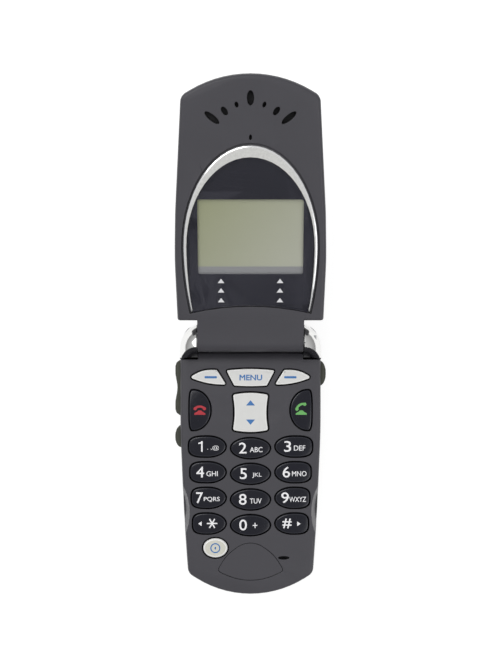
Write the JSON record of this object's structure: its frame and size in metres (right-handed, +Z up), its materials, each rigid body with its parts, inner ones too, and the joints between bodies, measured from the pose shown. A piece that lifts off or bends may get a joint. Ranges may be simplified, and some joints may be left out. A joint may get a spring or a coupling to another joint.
{
  "type": "clamshell mobile phone",
  "caption": "Clamshell mobile phone lying open on its back: tapered keypad base with domed hinge ears and a lid with an arched window over a display.",
  "frame": {"origin": "middle of the base's flat back, halfway between its bottom end and the back of the hinge ears", "axes": "+X to the right seen from the keypad side, +Y along the base towards the hinge and the open lid, +Z up out of the keypad"},
  "size_m": [0.047, 0.1567, 0.0444],
  "materials": {
    "charcoal_shell": "soft-touch painted charcoal plastic, satin",
    "charcoal_door": "moulded charcoal plastic, fine texture",
    "bright_chrome": "polished chrome plating",
    "silver_trim": "bright silver lacquer",
    "silver_key": "pearl silver lacquered plastic with pale edges",
    "dark_key": "glossy blue-black polycarbonate",
    "side_key": "olive-grey rubber",
    "window_lens": "dark tinted acrylic window, glossy",
    "lens_mask": "blue-black print under the window",
    "lcd_glass": "green-grey reflective display",
    "outer_window": "dark tinted acrylic window, glossy",
    "circuit_board": "green solder mask",
    "tinned_steel": "tinned sheet steel",
    "turned_steel": "ground steel",
    "gold_flex": "amber polyimide film with copper tracks",
    "key_rubber": "translucent silicone rubber",
    "battery_wrap": "dark battery film",
    "black_moulding": "black glass-filled moulding",
    "speaker_mesh": "black acoustic cloth"
  },
  "bodies": {
    "base": {"front_housing": "charcoal_shell", "rear_housing": "charcoal_shell", "hinge_cap_left": "bright_chrome", "hinge_cap_right": "bright_chrome", "face_inlay": "charcoal_shell", "main_board": "circuit_board", "shield_cans": "tinned_steel", "dome_sheet": "tinned_steel", "keypad_mat": "key_rubber", "battery": "battery_wrap", "battery_contacts": "gold_flex", "microphone": "tinned_steel", "vibration_motor": "tinned_steel", "headset_jack": "black_moulding", "accessory_connector": "black_moulding", "internal_antenna": "gold_flex", "side_switches": "black_moulding", "housing_screws": "turned_steel", "hinge_shaft": "turned_steel", "pivot_bush": "turned_steel", "flex_tail": "gold_flex"},
    "lid": {"lid_inner_cover": "charcoal_shell", "lid_outer_cover": "charcoal_shell", "lens_ring": "silver_trim", "display_lens": "window_lens", "lens_mask": "lens_mask", "display_module": "lcd_glass", "display_frame": "tinned_steel", "lid_board": "circuit_board", "earpiece": "black_moulding", "earpiece_mesh": "speaker_mesh", "outer_lens": "outer_window", "outer_display": "lcd_glass", "lid_magnet": "tinned_steel", "hinge_capsule": "turned_steel", "hinge_flex": "gold_flex"},
    "rocker": {"nav_rocker": "silver_key"},
    "volume": {"volume_rocker": "side_key"},
    "smart": {"smart_key": "side_key"},
    "voice": {"voice_key": "side_key"},
    "door": {"battery_door": "charcoal_door"},
    "latch": {"battery_latch": "charcoal_door"},
    "softkey_left_cap": {"softkey_left": "silver_key"},
    "menu_key_cap": {"menu_key": "silver_key"},
    "softkey_right_cap": {"softkey_right": "silver_key"},
    "end_key_cap": {"end_key": "dark_key"},
    "send_key_cap": {"send_key": "dark_key"},
    "key_1_cap": {"key_1": "dark_key"},
    "key_2_cap": {"key_2": "dark_key"},
    "key_3_cap": {"key_3": "dark_key"},
    "key_4_cap": {"key_4": "dark_key"},
    "key_5_cap": {"key_5": "dark_key"},
    "key_6_cap": {"key_6": "dark_key"},
    "key_7_cap": {"key_7": "dark_key"},
    "key_8_cap": {"key_8": "dark_key"},
    "key_9_cap": {"key_9": "dark_key"},
    "key_star_cap": {"key_star": "dark_key"},
    "key_0_cap": {"key_0": "dark_key"},
    "key_hash_cap": {"key_hash": "dark_key"},
    "power_key_cap": {"power_key": "silver_key"}
  },
  "joints": [
    {"name": "lid_hinge", "type": "hinge", "parent": "base", "child": "lid", "pos_m": [0, 0.03675, 0.0206], "axis": [1, 0, 0], "range_deg": [0, 165]},
    {"name": "softkey_left_press", "type": "slide", "parent": "base", "child": "softkey_left_cap", "axis": [0, 0, -1], "range_m": [0, 0.0004], "stiffness_N_per_m": 1000, "springref_m": -0.0005},
    {"name": "menu_key_press", "type": "slide", "parent": "base", "child": "menu_key_cap", "axis": [0, 0, -1], "range_m": [0, 0.0004], "stiffness_N_per_m": 1000, "springref_m": -0.0005},
    {"name": "softkey_right_press", "type": "slide", "parent": "base", "child": "softkey_right_cap", "axis": [0, 0, -1], "range_m": [0, 0.0004], "stiffness_N_per_m": 1000, "springref_m": -0.0005},
    {"name": "end_key_press", "type": "slide", "parent": "base", "child": "end_key_cap", "axis": [0, 0, -1], "range_m": [0, 0.0004], "stiffness_N_per_m": 1000, "springref_m": -0.0005},
    {"name": "send_key_press", "type": "slide", "parent": "base", "child": "send_key_cap", "axis": [0, 0, -1], "range_m": [0, 0.0004], "stiffness_N_per_m": 1000, "springref_m": -0.0005},
    {"name": "key_1_press", "type": "slide", "parent": "base", "child": "key_1_cap", "axis": [0, 0, -1], "range_m": [0, 0.0004], "stiffness_N_per_m": 1000, "springref_m": -0.0005},
    {"name": "key_2_press", "type": "slide", "parent": "base", "child": "key_2_cap", "axis": [0, 0, -1], "range_m": [0, 0.0004], "stiffness_N_per_m": 1000, "springref_m": -0.0005},
    {"name": "key_3_press", "type": "slide", "parent": "base", "child": "key_3_cap", "axis": [0, 0, -1], "range_m": [0, 0.0004], "stiffness_N_per_m": 1000, "springref_m": -0.0005},
    {"name": "key_4_press", "type": "slide", "parent": "base", "child": "key_4_cap", "axis": [0, 0, -1], "range_m": [0, 0.0004], "stiffness_N_per_m": 1000, "springref_m": -0.0005},
    {"name": "key_5_press", "type": "slide", "parent": "base", "child": "key_5_cap", "axis": [0, 0, -1], "range_m": [0, 0.0004], "stiffness_N_per_m": 1000, "springref_m": -0.0005},
    {"name": "key_6_press", "type": "slide", "parent": "base", "child": "key_6_cap", "axis": [0, 0, -1], "range_m": [0, 0.0004], "stiffness_N_per_m": 1000, "springref_m": -0.0005},
    {"name": "key_7_press", "type": "slide", "parent": "base", "child": "key_7_cap", "axis": [0, 0, -1], "range_m": [0, 0.0004], "stiffness_N_per_m": 1000, "springref_m": -0.0005},
    {"name": "key_8_press", "type": "slide", "parent": "base", "child": "key_8_cap", "axis": [0, 0, -1], "range_m": [0, 0.0004], "stiffness_N_per_m": 1000, "springref_m": -0.0005},
    {"name": "key_9_press", "type": "slide", "parent": "base", "child": "key_9_cap", "axis": [0, 0, -1], "range_m": [0, 0.0004], "stiffness_N_per_m": 1000, "springref_m": -0.0005},
    {"name": "key_star_press", "type": "slide", "parent": "base", "child": "key_star_cap", "axis": [0, 0, -1], "range_m": [0, 0.0004], "stiffness_N_per_m": 1000, "springref_m": -0.0005},
    {"name": "key_0_press", "type": "slide", "parent": "base", "child": "key_0_cap", "axis": [0, 0, -1], "range_m": [0, 0.0004], "stiffness_N_per_m": 1000, "springref_m": -0.0005},
    {"name": "key_hash_press", "type": "slide", "parent": "base", "child": "key_hash_cap", "axis": [0, 0, -1], "range_m": [0, 0.0004], "stiffness_N_per_m": 1000, "springref_m": -0.0005},
    {"name": "power_key_press", "type": "slide", "parent": "base", "child": "power_key_cap", "axis": [0, 0, -1], "range_m": [0, 0.0004], "stiffness_N_per_m": 1000, "springref_m": -0.0005},
    {"name": "nav_tilt", "type": "hinge", "parent": "base", "child": "rocker", "pos_m": [0, 0.01445, 0.0136], "axis": [1, 0, 0], "range_deg": [-3, 3], "stiffness_Nm_per_rad": 0.05},
    {"name": "volume_tilt", "type": "hinge", "parent": "base", "child": "volume", "pos_m": [-0.02, 0.02205, 0.0123], "axis": [0, 0, 1], "range_deg": [-2, 2], "stiffness_Nm_per_rad": 0.05},
    {"name": "smart_press", "type": "slide", "parent": "base", "child": "smart", "axis": [1, 0, 0], "range_m": [0, 0.0004], "stiffness_N_per_m": 1000, "springref_m": -0.0005},
    {"name": "voice_press", "type": "slide", "parent": "base", "child": "voice", "axis": [-1, 0, 0], "range_m": [0, 0.0004], "stiffness_N_per_m": 1000, "springref_m": -0.0005},
    {"name": "door_hinge", "type": "hinge", "parent": "base", "child": "door", "pos_m": [0, -0.03855, 0.0011], "axis": [-1, 0, 0], "range_deg": [0, 15]},
    {"name": "latch_slide", "type": "slide", "parent": "base", "child": "latch", "axis": [0, 1, 0], "range_m": [0, 0.0015], "stiffness_N_per_m": 400, "springref_m": -0.0005}
  ]
}
